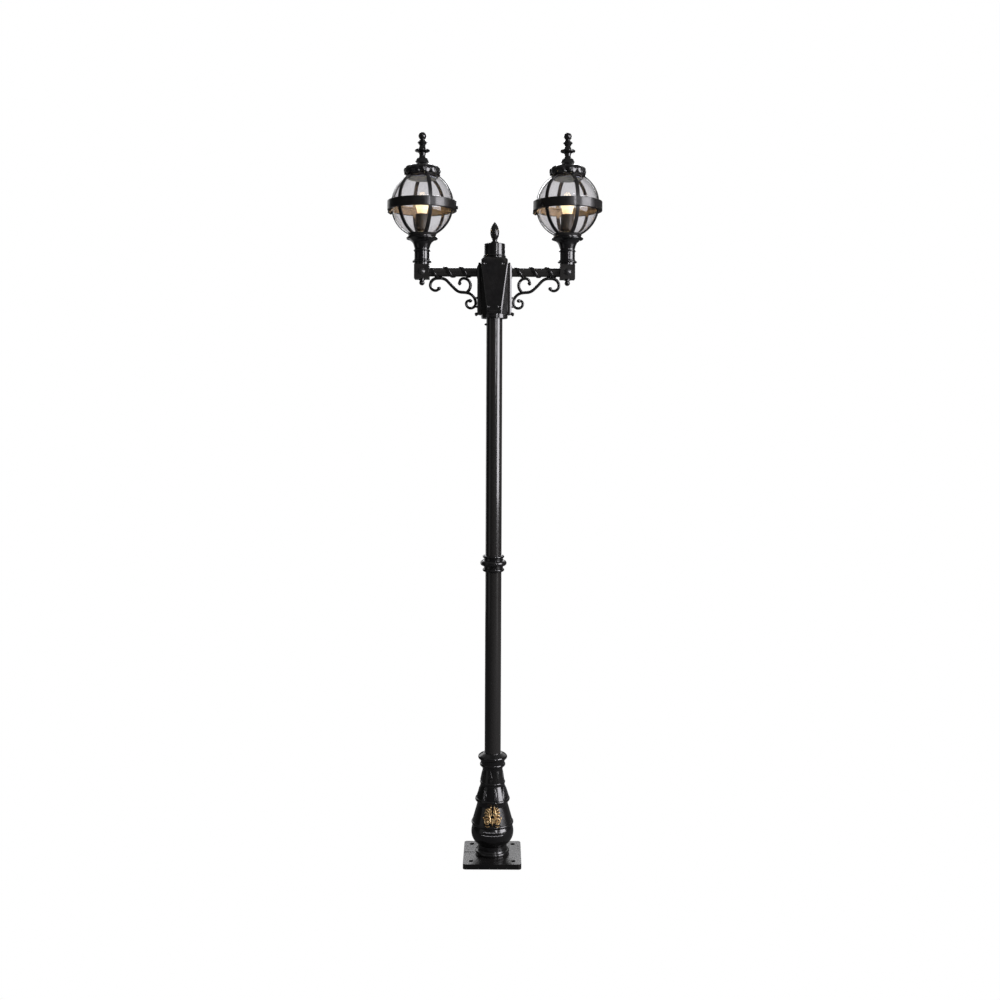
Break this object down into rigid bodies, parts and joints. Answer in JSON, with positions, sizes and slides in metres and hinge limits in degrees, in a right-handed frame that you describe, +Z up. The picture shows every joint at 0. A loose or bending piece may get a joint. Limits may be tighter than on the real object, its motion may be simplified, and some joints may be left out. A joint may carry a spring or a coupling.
{
  "type": "street lamp post",
  "caption": "Cast and tubular street lamp post with a square bolt-down plate, stepped pedestal, scrolled arms and ribbed globe lanterns with hinged lids.",
  "frame": {"origin": "on the ground, at the column's axis and the middle of the cable entry's lower edge", "axes": "+Z up the column, +X along the right-hand arm, -Y the front with the ornament, +Y the service door"},
  "size_m": [1.0146, 0.328, 3.423],
  "materials": {
    "cast_black": "gloss black paint over slightly rough cast iron and aluminium",
    "tube_black": "smooth gloss black paint on steel tube",
    "black_steel": "black paint on steel fasteners",
    "gilt": "gold paint with dark recesses",
    "clear_glass": "clear, faintly smoky",
    "lamp_glass": "opal bulb, lit warm white",
    "bronze": "satin dark bronze",
    "white_enamel": "satin white enamel",
    "steel": "plain machined steel",
    "brass": "plain brass",
    "board": "brown laminate board",
    "black_plastic": "moulded black plastic",
    "cable": "rubber sheath"
  },
  "bodies": {
    "post": {"base_plate": "cast_black", "base_pedestal": "cast_black", "crest_ornament": "gilt", "door_hinge_pins": "steel", "service_board": "board", "fused_cutout": "black_plastic", "earth_stud": "brass", "column_cable": "cable", "lower_tube": "tube_black", "joint_spigot": "steel", "column_collar": "cast_black", "upper_tube": "tube_black", "head_fixing_screw": "black_steel", "head_casing": "cast_black", "front_cover": "cast_black", "rear_cover": "cast_black", "cover_screws": "black_steel", "head_cap": "cast_black", "head_finial": "cast_black", "head_terminals": "black_plastic", "backplate_bolts": "black_steel", "block_bolts": "black_steel", "pendant_nuts": "cast_black", "lamp_cables": "cable", "lid_hinge_pins": "steel", "left_backplate": "cast_black", "left_arm_tube": "tube_black", "left_arm_ribbon": "cast_black", "left_scroll": "cast_black", "left_end_block": "cast_black", "left_stem": "cast_black", "left_lower_cage": "cast_black", "left_lower_glass": "clear_glass", "left_lampholder": "bronze", "left_lamp": "lamp_glass", "right_backplate": "cast_black", "right_arm_tube": "tube_black", "right_arm_ribbon": "cast_black", "right_scroll": "cast_black", "right_end_block": "cast_black", "right_stem": "cast_black", "right_lower_cage": "cast_black", "right_lower_glass": "clear_glass", "right_lampholder": "bronze", "right_lamp": "lamp_glass"},
    "door": {"access_door": "cast_black"},
    "lock": {"door_lock": "steel"},
    "left_lid": {"left_upper_cage": "cast_black", "left_upper_glass": "clear_glass", "left_reflector": "white_enamel", "left_crown": "cast_black", "left_finial": "cast_black"},
    "left_catch": {"left_catch_screw": "black_steel"},
    "right_lid": {"right_upper_cage": "cast_black", "right_upper_glass": "clear_glass", "right_reflector": "white_enamel", "right_crown": "cast_black", "right_finial": "cast_black"},
    "right_catch": {"right_catch_screw": "black_steel"}
  },
  "joints": [
    {"name": "door_hinge", "type": "hinge", "parent": "post", "child": "door", "pos_m": [-0.044, 0.105, 0.172], "axis": [0, 0, 1], "range_deg": [0, 110]},
    {"name": "lock_turn", "type": "hinge", "parent": "door", "child": "lock", "pos_m": [0.023, 0.1, 0.172], "axis": [0, 1, 0], "range_deg": [0, 90]},
    {"name": "left_lid_hinge", "type": "hinge", "parent": "post", "child": "left_lid", "pos_m": [-0.49908, 0.03034, 3.046], "axis": [-0.1908, -0.9816, 0], "range_deg": [0, 80]},
    {"name": "left_catch_slide", "type": "slide", "parent": "left_lid", "child": "left_catch", "axis": [0.9816, -0.1908, 0], "range_m": [0, 0.006]},
    {"name": "right_lid_hinge", "type": "hinge", "parent": "post", "child": "right_lid", "pos_m": [0.18906, 0.03981, 3.046], "axis": [-0.2504, -0.9681, 0], "range_deg": [0, 80]},
    {"name": "right_catch_slide", "type": "slide", "parent": "right_lid", "child": "right_catch", "axis": [0.8141, 0.5807, 0], "range_m": [0, 0.006]}
  ]
}
